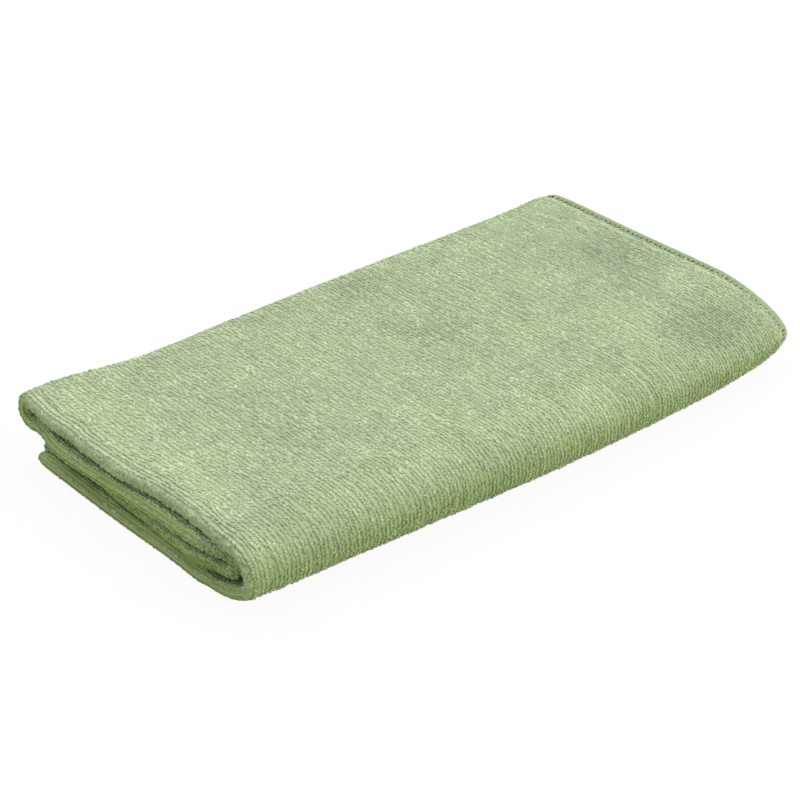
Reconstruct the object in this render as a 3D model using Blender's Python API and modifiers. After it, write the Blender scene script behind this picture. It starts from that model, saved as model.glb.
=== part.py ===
"""A microfibre cloth, folded up.

A square of terry knit with an overlocked hem is folded in half, so that one short end shows
rounded double plies and the other end the hems. It is then folded twice across its width into
four double layers: the bottom one turns up round the front, runs back on top, turns down at
the back, runs forward, and turns once more inside the front fold to end under the back.

Metres. X runs from the half fold to the hems, Y from the front fold to the back, Z is up, and
the cloth lies on Z = 0 with the middle of its outline over the origin. The tables are in mm.
"""

import math
from collections import namedtuple

import bmesh
import bpy
from mathutils import Vector

MM = 0.001

# Driving sizes, in mm
PLY = 2.1  # thickness of one ply of terry
PLY_GAP = 0.3  # between the two plies of a double layer
HALF_LAYER = PLY + PLY_GAP / 2  # half the thickness of a double layer
LENGTH = 200.5  # from the half fold to the hems
BOTTOM_HEM = 96.0  # how far back the bottom layer's free hem lies
THIRD_HEM = 94.0  # and that of the layer over it
LAYER_GAP = 0.35  # between the bottom layer's hem and the one that rests on it
HEM_SHARE = 0.6  # thickness of the overlocked edge, as a share of a ply
HEM_WIDTH = 5.0  # over which a ply thins towards that edge
CORNER = 9.0  # radius of the square's rounded corners

# The heights of the middle of each double layer, at stations from front to back
Heights = namedtuple("Heights", "y bottom third second top")
HEIGHTS = (
    Heights(5, 2.25, 8.0, 13.0, 18.0),
    Heights(30, 2.25, 7.9, 12.9, 18.0),
    Heights(60, 2.25, 7.5, 12.5, 17.9),
    Heights(84, 2.25, 7.2, 12.1, 17.85),
    Heights(91, 2.25, 7.1, 11.8, 17.8),
    Heights(100, 2.25, 7.1, 10.2, 17.7),
    Heights(110, 2.25, 7.1, 9.6, 17.6),
)

# How the folds lie at stations along the cloth. Its outer face reaches back and nose, and
# nose_z is the nose's height. The front fold leaves the surface at toe and joins the top at
# shoulder, whose corner is fuller for a higher power. inner is where the fold inside the
# front one begins to turn.
Folds = namedtuple("Folds", "x back nose nose_z toe shoulder power inner")
FOLDS = (
    Folds(0, 105.3, -2.2, 9.5, 17, 13, 2.6, 10.5),
    Folds(12, 105.8, -3.0, 9.5, 16, 12.5, 2.8, 10),
    Folds(36, 101.8, -4.2, 9.6, 15, 12.5, 2.9, 10),
    Folds(70, 102.6, -5.8, 9.6, 13, 12, 3.1, 10.5),
    Folds(110, 103.6, -7.2, 9.6, 11, 12.5, 3.0, 12),
    Folds(157, 103.9, -6.4, 9.5, 11, 16, 2.5, 17),
    Folds(184, 104.1, -3.6, 9.3, 12, 23, 1.9, 22),
    Folds(LENGTH, 104.4, 1.0, 9.2, 14, 29, 1.55, 26.5),
)
TOE_POWER = 1.8
BACK_REACH = 3.1  # how far the back fold's middle reaches past the layers it joins

# How far short of the end the half fold stops, at shares of the section's length: first the
# bottom layer, then the front fold, the top, the back fold, the second layer, the fold inside
# and the third layer
Recess = namedtuple("Recess", "share short")
RECESS = (
    Recess(0.0, -0.8),
    Recess(0.1, -0.9),
    Recess(0.15, -0.35),
    Recess(0.2, -0.55),
    Recess(0.27, -0.5),
    Recess(0.295, -0.6),
    Recess(0.325, 0.35),
    Recess(0.36, 0.0),
    Recess(0.378, -1.1),
    Recess(0.4, -2.0),
    Recess(0.44, -2.2),
    Recess(0.456, -1.6),
    Recess(0.48, -2.1),
    Recess(0.503, -0.8),
    Recess(0.53, -0.3),
    Recess(0.549, 0.0),
    Recess(0.565, -1.5),
    Recess(0.583, -3.3),
    Recess(0.6, -3.9),
    Recess(0.63, -3.7),
    Recess(0.665, -2.7),
    Recess(0.7, -1.8),
    Recess(0.745, -1.3),
    Recess(0.762, 0.4),
    Recess(0.775, 1.5),
    Recess(0.795, 0.5),
    Recess(0.812, -1.6),
    Recess(0.835, -1.3),
    Recess(0.87, -0.6),
    Recess(0.905, -0.2),
    Recess(0.93, 0.8),
    Recess(1.0, 0.3),
)

# How finely the section and the length are divided
RUN_SPANS = 8
HEM_STEPS = (0.0, 1.0, 2.5, 5.0, 9.0)  # in from a free hem
TOE_SPANS = 6
SHOULDER_SPANS = 8
TURN_SPANS = 8
HALF_FOLD_SPANS = 6
END_ZONE = 40  # over which a recess or a rounded corner fades out
STATIONS = (LENGTH, 199.5, 198, 195.5, 189, 175, 157, 134, 110, 85, 62, 40, 26, 15, 7)

CLOTH_COLOUR = (0.42, 0.52, 0.29, 1.0)
CLOTH_ROUGHNESS = 0.95


def smooth_row(table, at):
    """The table's row at a place between its rows, every column on a smooth curve."""
    if at <= table[0][0]:
        return table[0]
    if at >= table[-1][0]:
        return table[-1]
    place = max(i for i, row in enumerate(table) if row[0] <= at)
    before, after = table[place], table[place + 1]
    wide = after[0] - before[0]
    share = (at - before[0]) / wide

    def slope(i, column):
        low, high = table[max(i - 1, 0)], table[min(i + 1, len(table) - 1)]
        return (high[column] - low[column]) / (high[0] - low[0])

    values = [at]
    for column in range(1, len(before)):
        start = slope(place, column) * wide
        end = slope(place + 1, column) * wide
        rise = after[column] - before[column]
        bend = share * (1 - share) * ((start - rise) * (1 - share) - (end - rise) * share)
        values.append(before[column] + rise * share + bend)
    return type(before)(*values)


def height(layer, y):
    """The height of the middle of one of the double layers."""
    return getattr(smooth_row(HEIGHTS, y), layer)


def thinned(distance):
    """The thickness of a ply at this distance from the cloth's edge."""
    share = min(1.0, distance / HEM_WIDTH)
    return PLY * (HEM_SHARE + (1 - HEM_SHARE) * share * share * (3 - 2 * share))


def run(layer, start, end):
    """A nearly flat stretch of the section, without its last point."""
    steps = [start + (end - start) * i / RUN_SPANS for i in range(RUN_SPANS)]
    return [(y, height(layer, y)) for y in steps]


def hem(layer, edge):
    """The first points in from a free hem, edge first, as it rests on what is under it."""
    points = []
    for step in HEM_STEPS:
        y = edge - step
        under = 0.0 if layer == "bottom" else 2 * thinned(BOTTOM_HEM - y) + PLY_GAP + LAYER_GAP
        resting = under + thinned(step) + PLY_GAP / 2
        points.append((y, min(resting, height(layer, y))))
    return points


def turn(y, upper, lower, reach):
    """A round fold from one layer down to the next, reaching to the back or, if minus, front."""
    half = (upper - lower) / 2
    angles = [math.pi * i / TURN_SPANS for i in range(TURN_SPANS)]
    return [(y + reach * math.sin(a), lower + half * (1 + math.cos(a))) for a in angles]


def corner(outer, high, power, spans):
    """A rounded corner as (outwards, upwards) pairs, from upright to just short of level."""
    angles = [math.pi / 2 * i / spans for i in range(spans)]
    return [
        (outer * math.cos(a) ** (2 / power), high * math.sin(a) ** (2 / power)) for a in angles
    ]


def front_fold(folds):
    """The large fold at the front, from the surface round the nose and nearly to the top."""
    nose = folds.nose + HALF_LAYER
    low, high = height("bottom", folds.toe), height("top", folds.shoulder)
    toe = corner(folds.toe - nose, folds.nose_z - low, TOE_POWER, TOE_SPANS)
    shoulder = corner(folds.shoulder - nose, high - folds.nose_z, folds.power, SHOULDER_SPANS)
    rising = [(folds.toe - out, folds.nose_z - up) for out, up in reversed(toe[1:])]
    closing = [(folds.shoulder - out, folds.nose_z + up) for out, up in shoulder]
    return [(folds.toe, low)] + rising + closing


def section(x):
    """The middle of the double layer as (y, z) points from hem to hem, at one x."""
    folds = smooth_row(FOLDS, x)
    back = folds.back - HALF_LAYER - BACK_REACH
    top, second = height("top", back), height("second", back)
    upper, lower = height("second", folds.inner), height("third", folds.inner)
    inset = HEM_STEPS[-1]
    return (
        hem("bottom", BOTTOM_HEM)[:-1]
        + run("bottom", BOTTOM_HEM - inset, folds.toe)
        + front_fold(folds)
        + run("top", folds.shoulder, back)
        + turn(back, top, second, BACK_REACH)
        + run("second", back, folds.inner)
        + turn(folds.inner, upper, lower, (lower - upper) / 2)
        + run("third", folds.inner, THIRD_HEM - inset)
        + hem("third", THIRD_HEM)[::-1]
    )


def outward(points):
    """For each point the way square to the section, stretched so that plies stay even."""
    ways = []
    for before, after in zip(points, points[1:]):
        along = Vector((after[0] - before[0], after[1] - before[1])).normalized()
        ways.append(Vector((-along.y, along.x)))
    pairs = zip([ways[0]] + ways, ways + [ways[-1]])
    return [(a + b) / (1 + a.dot(b)) for a, b in pairs]


def lengths(points):
    """How far along the section each point lies."""
    steps = [math.dist(a, b) for a, b in zip(points, points[1:])]
    return [sum(steps[:i]) for i in range(len(points))]


def rounding(distance):
    """How far the hemmed end draws in at this distance from a hem, round the corner."""
    inside = max(0.0, CORNER - distance)
    return CORNER - math.sqrt(CORNER**2 - inside**2)


def stations():
    """How the length is walked, as (x, side of the double layer, way into the half fold)."""
    angles = [math.pi * i / HALF_FOLD_SPANS for i in range(HALF_FOLD_SPANS + 1)]
    outer = [(x, 1.0, 0.0) for x in STATIONS]
    inner = [(x, -1.0, 0.0) for x in reversed(STATIONS)]
    return outer + [(HALF_LAYER, math.cos(a), math.sin(a)) for a in angles] + inner


def folded_rows():
    """The sheet's middle as rows of (point in metres, ply thickness), one for each station."""
    rows = []
    for x, side, into in stations():
        points = section(x)
        walked = lengths(points)
        near_fold = max(0.0, 1 - x / END_ZONE)
        near_hems = max(0.0, 1 - (LENGTH - x) / END_ZONE)
        row = []
        for (y, z), way, far in zip(points, outward(points), walked):
            to_hem = min(far, walked[-1] - far)
            short = smooth_row(RECESS, far / walked[-1]).short * near_fold
            ply = min(thinned(to_hem), thinned(LENGTH - x))
            lowest = max(0.0, min(1.0, 2 - z / HALF_LAYER))
            sunk = (thinned(to_hem) - ply) * lowest
            middle = Vector((x + short - rounding(to_hem) * near_hems, y, z - sunk))
            off = Vector((-into, way.x * side, way.y * side)) * (ply + PLY_GAP) / 2
            row.append(((middle + off) * MM, ply))
        rows.append(row)
    return rows


def fold_cloth():
    """The square cut as a flat grid whose points are then moved to where they lie folded."""
    rows = folded_rows()
    last_row, last_column = len(rows) - 1, len(rows[0]) - 1
    mesh = bpy.data.meshes.new("microfibre_cloth")
    cut = bmesh.new()
    bmesh.ops.create_grid(cut, x_segments=last_row, y_segments=last_column, size=0.5)
    shares = []
    for vert in cut.verts:
        row = round((vert.co.x + 0.5) * last_row)
        column = round((vert.co.y + 0.5) * last_column)
        vert.co, ply = rows[row][column]
        shares.append(ply / PLY)
    cut.to_mesh(mesh)
    cut.free()
    return mesh, shares


def thicken(cloth, shares):
    """Gives the folded sheet its thickness, thinner towards the overlocked edge."""
    group = cloth.vertex_groups.new(name="ply")
    for index, share in enumerate(shares):
        group.add([index], share, "REPLACE")
    solid = cloth.modifiers.new("ply", "SOLIDIFY")
    solid.thickness = PLY * MM
    solid.offset = 0
    solid.use_even_offset = True
    solid.use_quality_normals = True
    solid.vertex_group = group.name


def terry_material():
    material = bpy.data.materials.new("terry")
    material.use_nodes = True
    shader = material.node_tree.nodes["Principled BSDF"]
    shader.inputs["Base Color"].default_value = CLOTH_COLOUR
    shader.inputs["Roughness"].default_value = CLOTH_ROUGHNESS
    shader.inputs["Metallic"].default_value = 0.0
    return material


def centre_over_origin(cloth):
    """Moves the cloth so that it lies on Z = 0 with its outline's middle over the origin."""
    bpy.context.view_layer.update()
    shape = cloth.evaluated_get(bpy.context.evaluated_depsgraph_get())
    corners = [Vector(corner) for corner in shape.bound_box]
    low = Vector([min(c[i] for c in corners) for i in range(3)])
    high = Vector([max(c[i] for c in corners) for i in range(3)])
    cloth.location = (-(low.x + high.x) / 2, -(low.y + high.y) / 2, -low.z)


def main():
    for obj in list(bpy.data.objects):
        bpy.data.objects.remove(obj, do_unlink=True)
    parts = bpy.data.collections.new("microfibre cloth")
    bpy.context.scene.collection.children.link(parts)
    mesh, shares = fold_cloth()
    cloth = bpy.data.objects.new("microfibre_cloth", mesh)
    parts.objects.link(cloth)
    mesh.materials.append(terry_material())
    mesh.shade_smooth()
    thicken(cloth, shares)
    centre_over_origin(cloth)


main()
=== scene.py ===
"""A folded microfibre terry cloth, laid out as a Blender add-on and run as a script.

The cloth is one square of terry knit, folded in half and then twice across its width. The
ground knit is one thin sheet that follows the folds, the pile is made of small loops set in
ribs over its face, and every edge is overlocked with thread. The tables are in millimetres,
in the fold's own frame: X runs from the half fold to the hems, Y from the front fold to the
back and Z up.
"""

import math
from collections import namedtuple
from functools import lru_cache

import bmesh
import bpy
import numpy as np
from mathutils import Matrix, Vector


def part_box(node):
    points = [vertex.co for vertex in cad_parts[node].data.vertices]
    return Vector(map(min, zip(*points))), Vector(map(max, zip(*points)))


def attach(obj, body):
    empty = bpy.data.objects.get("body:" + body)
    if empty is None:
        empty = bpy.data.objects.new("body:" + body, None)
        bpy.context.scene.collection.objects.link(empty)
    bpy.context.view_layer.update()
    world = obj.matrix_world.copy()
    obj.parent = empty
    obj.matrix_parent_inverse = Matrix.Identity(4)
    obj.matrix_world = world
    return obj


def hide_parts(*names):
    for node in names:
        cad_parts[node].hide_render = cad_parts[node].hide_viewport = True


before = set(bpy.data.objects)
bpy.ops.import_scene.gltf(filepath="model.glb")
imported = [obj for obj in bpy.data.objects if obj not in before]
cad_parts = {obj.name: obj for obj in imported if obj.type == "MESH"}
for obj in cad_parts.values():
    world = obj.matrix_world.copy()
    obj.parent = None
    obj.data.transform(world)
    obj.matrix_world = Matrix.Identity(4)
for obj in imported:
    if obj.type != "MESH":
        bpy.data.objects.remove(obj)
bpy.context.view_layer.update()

bl_info = {
    "name": "Folded Microfibre Cloth",
    "version": (1, 0, 0),
    "blender": (4, 5, 0),
    "location": "3D View > Sidebar > Cloth",
    "description": "Makes a folded terry cloth with its pile, its overlocked hem and a studio",
    "category": "Add Mesh",
}

MM = 0.001
NODE = "microfibre_cloth"
TABLE_LOW = Vector((-3.7, -7.23, 0.0)) * MM  # the solid's lowest corner in the tables' frame
TABLE_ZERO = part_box(NODE)[0] - TABLE_LOW

# ---------------------------------------------------------------------------------------------
# The folds
# ---------------------------------------------------------------------------------------------

PLY = 2.1  # thickness of one ply, pile and all
PLY_GAP = 0.3  # between the two plies of a double layer
HALF_LAYER = PLY + PLY_GAP / 2  # half the thickness of a double layer
LENGTH = 200.5  # from the half fold to the hems
BOTTOM_HEM = 96.0  # how far back the bottom layer's free hem lies
THIRD_HEM = 94.0  # and that of the layer over it
LAYER_GAP = 0.35  # between the bottom layer's hem and the one that rests on it
HEM_SHARE = 0.6  # thickness of the overlocked edge, as a share of a ply
HEM_WIDTH = 5.0  # over which a ply thins towards that edge
CORNER = 9.0  # radius of the square's rounded corners
DRAWN_IN = 1.8  # how far the hemmed end is drawn in where it goes round the back fold
DRAWN_REACH = 5.0

# The heights of the middle of each double layer, at stations from front to back
Heights = namedtuple("Heights", "y bottom third second top")
HEIGHTS = (
    Heights(5, 2.25, 8.0, 13.0, 18.0),
    Heights(30, 2.25, 7.9, 12.9, 18.0),
    Heights(60, 2.25, 7.5, 12.5, 17.9),
    Heights(84, 2.25, 7.2, 12.1, 17.85),
    Heights(91, 2.25, 7.1, 11.8, 17.8),
    Heights(100, 2.25, 7.1, 10.2, 17.7),
    Heights(110, 2.25, 7.1, 9.6, 17.6),
)

# How the folds lie at stations along the cloth. The outer face reaches from nose to back, and
# nose_z is the nose's height. The front fold leaves the surface at toe and joins the top at
# shoulder, whose corner is fuller for a higher power. inner is where the fold inside the
# front one begins to turn.
Folds = namedtuple("Folds", "x back nose nose_z toe shoulder power inner")
FOLDS = (
    Folds(0, 105.3, -2.2, 9.5, 17, 13, 2.6, 10.5),
    Folds(12, 105.8, -3.0, 9.5, 16, 12.5, 2.8, 10),
    Folds(36, 101.8, -4.2, 9.6, 15, 12.5, 2.9, 10),
    Folds(70, 102.6, -5.8, 9.6, 13, 12, 3.1, 10.5),
    Folds(110, 103.6, -7.2, 9.6, 11, 12.5, 3.0, 12),
    Folds(157, 103.9, -6.4, 9.5, 11, 16, 2.5, 17),
    Folds(184, 104.4, -3.6, 9.3, 12, 23, 1.9, 22),
    Folds(193, 105.4, -1.5, 9.25, 13, 26.2, 1.7, 24.5),
    Folds(LENGTH, 104.4, 1.0, 9.2, 14, 29, 1.55, 26.5),
)
TOE_POWER = 1.8
BACK_REACH = 3.1  # how far the back fold's middle reaches past the layers it joins

# How far short of the end the half fold stops, at shares of the section's length: first the
# bottom layer, then the front fold, the top, the back fold, the second layer, the fold inside
# and the third layer
Recess = namedtuple("Recess", "share short")
RECESS = tuple(
    Recess(share, short)
    for share, short in (
        (0.0, -0.8), (0.1, -0.9), (0.15, -0.35), (0.2, -0.55), (0.27, -0.5), (0.295, -0.6),
        (0.325, 0.35), (0.36, 0.0), (0.378, -1.1), (0.4, -2.0), (0.44, -2.2), (0.456, -1.6),
        (0.48, -2.1), (0.503, -0.8), (0.53, -0.3), (0.549, 0.0), (0.565, -1.5), (0.583, -3.3),
        (0.6, -3.9), (0.63, -3.7), (0.665, -2.7), (0.7, -1.8), (0.745, -1.3), (0.762, 0.4),
        (0.775, 1.5), (0.795, 0.5), (0.812, -1.6), (0.835, -1.3), (0.87, -0.6), (0.905, -0.2),
        (0.93, 0.8), (1.0, 0.3),
    )
)
END_ZONE = 40  # over which a recess or a rounded corner fades out

# Soft spots on the top and the front fold. y runs on down the front fold from the top, as if
# that fold lay flat, and turn is the spot's angle from X in degrees. much is how deep a crease
# presses the cloth in, or the painted shade a shading spot lays on the pile and the knit, which
# is painted light where it is minus.
Spot = namedtuple("Spot", "x y long wide turn much")
CREASES = (
    Spot(172, 14, 20, 10, 20, 1.0),
    Spot(186, 60, 24, 12, 80, 0.7),
    Spot(150, 6, 16, 5, 0, -0.5),
    Spot(116, 5, 16, 4, 5, -0.5),
    Spot(70, 6, 30, 4, -2, -0.3),
    Spot(30, 40, 20, 12, 20, 0.4),
)
# Painted shade where the pile lies away from the light, and painted light where much is minus and it lies
# towards the light
PAINTED_SHADING_SPOTS = (
    Spot(181, 57, 17, 14, 80, 0.2),
    Spot(175, 8, 15, 8, 15, 0.22),
    Spot(110, 92, 16, 7, 20, 0.12),
    Spot(105, 60, 16, 6, 110, 0.12),
    Spot(20, 12, 9, 6, 0, 0.1),
    Spot(45, 96, 14, 5, 0, 0.1),
    Spot(90, 6, 50, 5, 1, -0.1),
    Spot(118, 1, 8, 5, 0, -0.12),
    Spot(152, 20, 16, 8, 60, -0.08),
    Spot(190, 35, 8, 12, 90, -0.08),
    Spot(6, 52, 12, 50, 0, -0.1),
)

# How finely the sheet is divided
HEM_STEPS = (0.0, 0.5, 1.2, 2.2, 3.5, 5.0, 9.0)  # in from a free hem
BOTTOM_SPANS = 22
TOE_SPANS = 14
SHOULDER_SPANS = 18
TOP_SPANS = 40
SECOND_SPANS = 30
THIRD_SPANS = 26
TURN_SPANS = 12
ROW_STEP = 1.35  # along the outer ply
EXTRA_ROW = 0.6  # how far in from the hemmed end one more row lies
INNER_ROW_STEP = 5.0  # along the ply inside the half fold, which is hidden
HALF_FOLD_SPANS = 30

# Distances over the face from the hemmed end
FACE_END = LENGTH - HALF_LAYER
FACE_MIDDLE = FACE_END / 2
TURN_END = FACE_END + math.pi * HALF_LAYER
ROPES_START = FACE_END - 4.5  # where the ribs begin to part towards the half fold
ROPES_END = FACE_END + 1.5  # and where they give way to flat pile round the top's half fold
TUFTS_START = TURN_END - 1.8  # where that pile's lower edge turns ragged
INSIDE_END = TURN_END + 14.0  # as far as one can look into the front fold
OVER_END = TURN_END + 6.0  # where the lower layers' pile ends, under the layer above
PARTINGS = (TURN_END - 1.3, TURN_END - 3.3)  # where their ribs part, with a bare line between
PARTING_REACH = 0.75

# The section's columns at which one stretch gives way to the next
TOE_AT = len(HEM_STEPS) - 1 + BOTTOM_SPANS
SHOULDER_AT = TOE_AT + TOE_SPANS + SHOULDER_SPANS
BACK_AT = SHOULDER_AT + TOP_SPANS
BACK_FOLD_AT = BACK_AT + TURN_SPANS // 2
SECOND_AT = BACK_AT + TURN_SPANS
THIRD_AT = SECOND_AT + SECOND_SPANS + TURN_SPANS
INSIDE_AT = THIRD_AT - TURN_SPANS - 3
RIM_AT = TOE_AT + 10
ROPES_AT = SHOULDER_AT - 7
TUFTS_AT = SHOULDER_AT + 4


def smooth_row(table, at):
    """The table's row at a place between its rows, every column on a smooth curve."""
    if at <= table[0][0]:
        return table[0]
    if at >= table[-1][0]:
        return table[-1]
    place = max(i for i, row in enumerate(table) if row[0] <= at)
    before, after = table[place], table[place + 1]
    wide = after[0] - before[0]
    share = (at - before[0]) / wide

    def slope(i, column):
        low, high = table[max(i - 1, 0)], table[min(i + 1, len(table) - 1)]
        return (high[column] - low[column]) / (high[0] - low[0])

    values = [at]
    for column in range(1, len(before)):
        start = slope(place, column) * wide
        end = slope(place + 1, column) * wide
        rise = after[column] - before[column]
        bend = share * (1 - share) * ((start - rise) * (1 - share) - (end - rise) * share)
        values.append(before[column] + rise * share + bend)
    return type(before)(*values)


def height(layer, y):
    """The height of the middle of one of the double layers."""
    return getattr(smooth_row(HEIGHTS, y), layer)


def eased(share):
    """A share between 0 and 1, eased at both ends."""
    return share * share * (3 - 2 * share)


def near(distance, reach):
    """How near a distance is to nothing: 1 there, and almost 0 at twice the reach."""
    return np.exp(-((distance / reach) ** 2))


def thinned(distance):
    """The thickness of a ply at this distance from the cloth's edge."""
    return PLY * (HEM_SHARE + (1 - HEM_SHARE) * eased(min(1.0, distance / HEM_WIDTH)))


def run(layer, start, end, spans):
    """A nearly flat stretch of the section, without its last point."""
    steps = [start + (end - start) * i / spans for i in range(spans)]
    return [(y, height(layer, y)) for y in steps]


def hem_run(layer, edge):
    """The first points in from a free hem, edge first, as it rests on what is under it."""
    points = []
    for step in HEM_STEPS:
        y = edge - step
        under = 0.0 if layer == "bottom" else 2 * thinned(BOTTOM_HEM - y) + PLY_GAP + LAYER_GAP
        resting = under + thinned(step) + PLY_GAP / 2
        points.append((y, min(resting, height(layer, y))))
    return points


def turn(y, upper, lower, reach):
    """A round fold from one layer down to the next, reaching to the back or, if minus, front."""
    half = (upper - lower) / 2
    angles = [math.pi * i / TURN_SPANS for i in range(TURN_SPANS)]
    return [(y + reach * math.sin(a), lower + half * (1 + math.cos(a))) for a in angles]


def corner(outer, high, power, spans):
    """A rounded corner as (outwards, upwards) pairs, from upright to just short of level."""
    angles = [math.pi / 2 * i / spans for i in range(spans)]
    return [
        (outer * math.cos(a) ** (2 / power), high * math.sin(a) ** (2 / power)) for a in angles
    ]


def front_fold(folds):
    """The large fold at the front, from the surface round the nose and nearly to the top."""
    nose = folds.nose + HALF_LAYER
    low, high = height("bottom", folds.toe), height("top", folds.shoulder)
    toe = corner(folds.toe - nose, folds.nose_z - low, TOE_POWER, TOE_SPANS)
    shoulder = corner(folds.shoulder - nose, high - folds.nose_z, folds.power, SHOULDER_SPANS)
    rising = [(folds.toe - out, folds.nose_z - up) for out, up in reversed(toe[1:])]
    closing = [(folds.shoulder - out, folds.nose_z + up) for out, up in shoulder]
    return [(folds.toe, low)] + rising + closing


def section(x):
    """The middle of the double layer as (y, z) points from hem to hem, at one x."""
    folds = smooth_row(FOLDS, x)
    back = folds.back - HALF_LAYER - BACK_REACH
    top, second = height("top", back), height("second", back)
    upper, lower = height("second", folds.inner), height("third", folds.inner)
    inset = HEM_STEPS[-1]
    return (
        hem_run("bottom", BOTTOM_HEM)[:-1]
        + run("bottom", BOTTOM_HEM - inset, folds.toe, BOTTOM_SPANS)
        + front_fold(folds)
        + run("top", folds.shoulder, back, TOP_SPANS)
        + turn(back, top, second, BACK_REACH)
        + run("second", back, folds.inner, SECOND_SPANS)
        + turn(folds.inner, upper, lower, (lower - upper) / 2)
        + run("third", folds.inner, THIRD_HEM - inset, THIRD_SPANS)
        + hem_run("third", THIRD_HEM)[::-1]
    )


def unit(vectors):
    """The vectors, each of length 1."""
    return vectors / np.linalg.norm(vectors, axis=-1, keepdims=True)


def outward(points):
    """For each point of a section the way square to it, longer where the section bends, so
    that a ply keeps its thickness there."""
    along = unit(np.diff(points, axis=0))
    ways = np.stack([-along[:, 1], along[:, 0]], axis=1)
    before, after = np.vstack([ways[:1], ways]), np.vstack([ways, ways[-1:]])
    return (before + after) / (1 + (before * after).sum(1, keepdims=True))


def walked_along(points):
    """How far along a line of points each of them lies."""
    steps = np.linalg.norm(np.diff(points, axis=0), axis=1)
    return np.concatenate([[0.0], np.cumsum(steps)])


def rounding(distance):
    """How far the hemmed end draws in at this distance from a hem, round the corner."""
    inside = np.maximum(0.0, CORNER - distance)
    return CORNER - np.sqrt(CORNER**2 - inside**2)


def marked(spots, x, y):
    """How much of these soft spots there is at places on the top and the front fold."""
    much = np.zeros_like(y)
    for spot in spots:
        angle = math.radians(spot.turn)
        dx, dy = x - spot.x, y - spot.y
        along = (dx * math.cos(angle) + dy * math.sin(angle)) / spot.long
        across = (dy * math.cos(angle) - dx * math.sin(angle)) / spot.wide
        much += spot.much * np.exp(-(along**2) - across**2)
    return much


Row = namedtuple("Row", "x side into along")


def stations():
    """How the length is walked: x, the side of the double layer, the way into the half fold
    and the distance over the face from the hemmed end."""
    outer = np.linspace(0.0, FACE_END, round(FACE_END / ROW_STEP), endpoint=False)
    inner = np.linspace(FACE_END, 0.0, round(FACE_END / INNER_ROW_STEP), endpoint=False)[::-1]
    angles = np.linspace(0.0, math.pi, HALF_FOLD_SPANS + 1)
    rows = [Row(LENGTH - far, 1.0, 0.0, far) for far in (*outer[:1], EXTRA_ROW, *outer[1:])]
    rows += [
        Row(HALF_LAYER, math.cos(a), math.sin(a), FACE_END + HALF_LAYER * a) for a in angles
    ]
    rows += [Row(HALF_LAYER + far, -1.0, 0.0, TURN_END + far) for far in inner]
    return rows


Sheet = namedtuple("Sheet", "along middle out ply brushed")


@lru_cache
def folded():
    """The folded sheet in metres, in the part's frame: the distance of each row from the
    hemmed end, and for each row and column the middle of the ply, the way out through its
    face, its thickness and the painted shade of its shading spots, painted light where minus."""
    along, middles, outs, plies, brushed = [], [], [], [], []
    for row in stations():
        points = np.array(section(row.x))
        walked = walked_along(points)
        ways = outward(points)
        to_hem = np.minimum(walked, walked[-1] - walked)
        near_fold = max(0.0, 1 - row.x / END_ZONE)
        near_hems = max(0.0, 1 - (LENGTH - row.x) / END_ZONE)
        short = np.array([smooth_row(RECESS, s).short for s in walked / walked[-1]]) * near_fold
        to_edge = np.array([thinned(d) for d in to_hem])
        ply = np.minimum(to_edge, thinned(LENGTH - row.x))
        lowest = np.clip(2 - points[:, 1] / HALF_LAYER, 0.0, 1.0)  # 1 in the bottom layer only
        unrolled = smooth_row(FOLDS, row.x).shoulder + walked - walked[SHOULDER_AT]
        seen = np.arange(len(points)) < BACK_AT
        pressed = marked(CREASES, row.x, unrolled) * seen
        place = points - unit(ways) * pressed[:, None]
        place[:, 1] -= (to_edge - ply) * lowest
        drawn = rounding(to_hem) + DRAWN_IN * near(walked - walked[BACK_FOLD_AT], DRAWN_REACH)
        x = row.x + short - drawn * near_hems
        off = np.column_stack([np.full(len(points), -row.into), ways * row.side])
        middle = np.column_stack([x, place]) + off * ((ply + PLY_GAP) / 2)[:, None]
        along.append(row.along * MM)
        middles.append(middle * MM + TABLE_ZERO)
        outs.append(unit(off))
        plies.append(ply * MM)
        brushed.append(marked(PAINTED_SHADING_SPOTS, row.x, unrolled) * seen)
    middle, out = np.array(middles), np.array(outs)
    square = unit(np.cross(np.gradient(middle, axis=0), np.gradient(middle, axis=1)))
    square *= np.sign((square * out).sum(-1, keepdims=True))
    return Sheet(np.array(along), middle, square, np.array(plies), np.array(brushed))


# ---------------------------------------------------------------------------------------------
# Shaders
# ---------------------------------------------------------------------------------------------


MIX_INPUTS = (0, 6, 7)  # a colour mix's factor and its two colours
MIX_RESULT = 2
NOISE_MIDDLE = 0.5
BROAD_PATCHES = 70.0  # how many of the dye's soft patches there are to a metre
FINE_PATCHES = 420.0
FINE_SHARE = 0.8  # how strong the fine ones are beside the broad ones


def set_up(node, **settings):
    """Sets a node's properties by name and its input sockets by their labels."""
    for name, value in settings.items():
        if name in node.bl_rna.properties:
            setattr(node, name, value)
        else:
            node.inputs[name.replace("_", " ")].default_value = value
    return node


def add_node(tree, kind, **settings):
    """A new node, set up."""
    return set_up(tree.nodes.new(kind), **settings)


def feed(tree, socket, value):
    """Gives a socket what another one puts out, or else a number or a colour."""
    if isinstance(value, bpy.types.NodeSocket):
        tree.links.new(value, socket)
    elif isinstance(value, float):
        socket.default_value = value
    else:
        socket.default_value = (*value, 1.0)


def mixed(tree, factor, low, high):
    """A colour between two others."""
    mix = add_node(tree, "ShaderNodeMix", data_type="RGBA")
    for index, value in zip(MIX_INPUTS, (factor, low, high)):
        feed(tree, mix.inputs[index], value)
    return mix.outputs[MIX_RESULT]


def worked(tree, operation, first, second):
    """The result of a sum on two values."""
    node = add_node(tree, "ShaderNodeMath", operation=operation)
    feed(tree, node.inputs[0], first)
    feed(tree, node.inputs[1], second)
    return node.outputs[0]


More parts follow.
